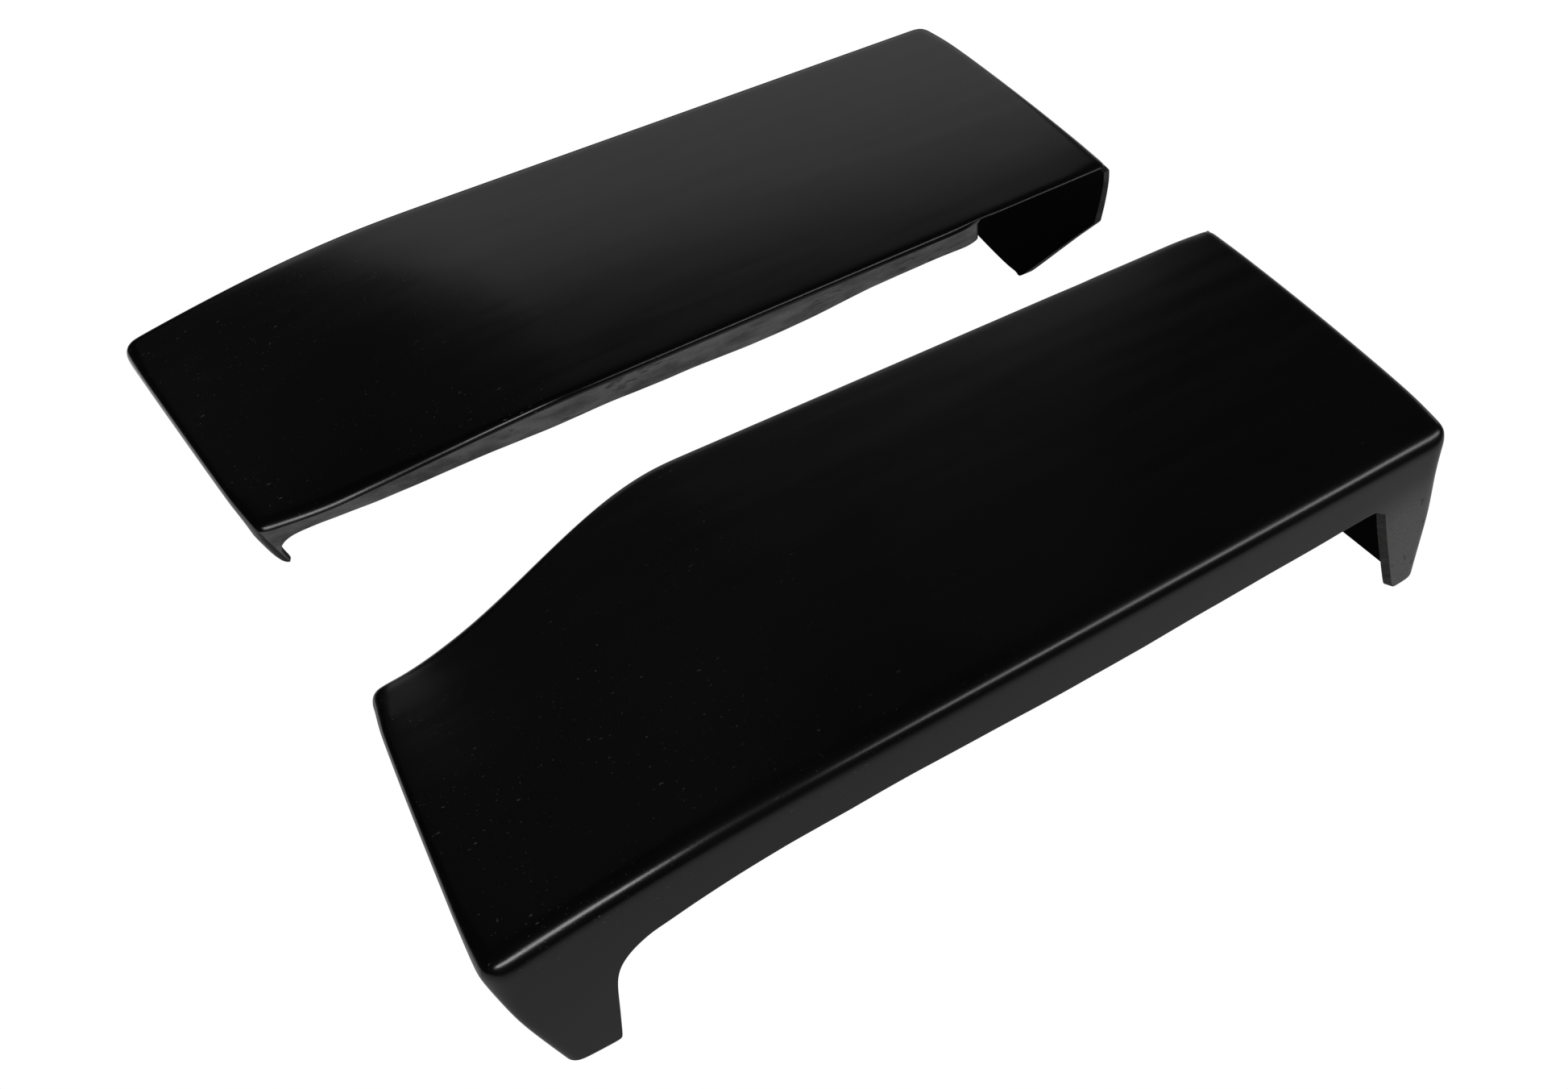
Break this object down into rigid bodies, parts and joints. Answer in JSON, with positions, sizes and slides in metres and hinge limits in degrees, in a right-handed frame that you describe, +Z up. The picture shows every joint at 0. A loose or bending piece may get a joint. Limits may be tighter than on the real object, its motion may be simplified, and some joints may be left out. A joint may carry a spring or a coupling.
{
  "type": "moulded cover guard pair",
  "caption": "Mirrored left and right black moulded shells: long low covers with one tall arched side wall, closed leaning ends and a shallow trimmed flange on the other side",
  "frame": {"origin": "centre of the pair's footprint, on the surface the guards stand on", "axes": "+X along the guards from their low ends towards their high ends, +Y across the pair from the right-hand guard's arched side towards the left-hand guard's arched side, +Z up"},
  "size_m": [0.459, 0.4018, 0.083],
  "materials": {
    "black_gelcoat": "satin black gelcoat over glass-fibre laminate, flange dull and hand-trimmed"
  },
  "bodies": {
    "right_hand_guard": {"right_hand_guard": "black_gelcoat"},
    "left_hand_guard": {"left_hand_guard": "black_gelcoat"}
  },
  "joints": [
    {"name": "lift_off", "type": "slide", "parent": "right_hand_guard", "child": "left_hand_guard", "axis": [0, 0, 1], "range_m": [0, 0.12]}
  ]
}
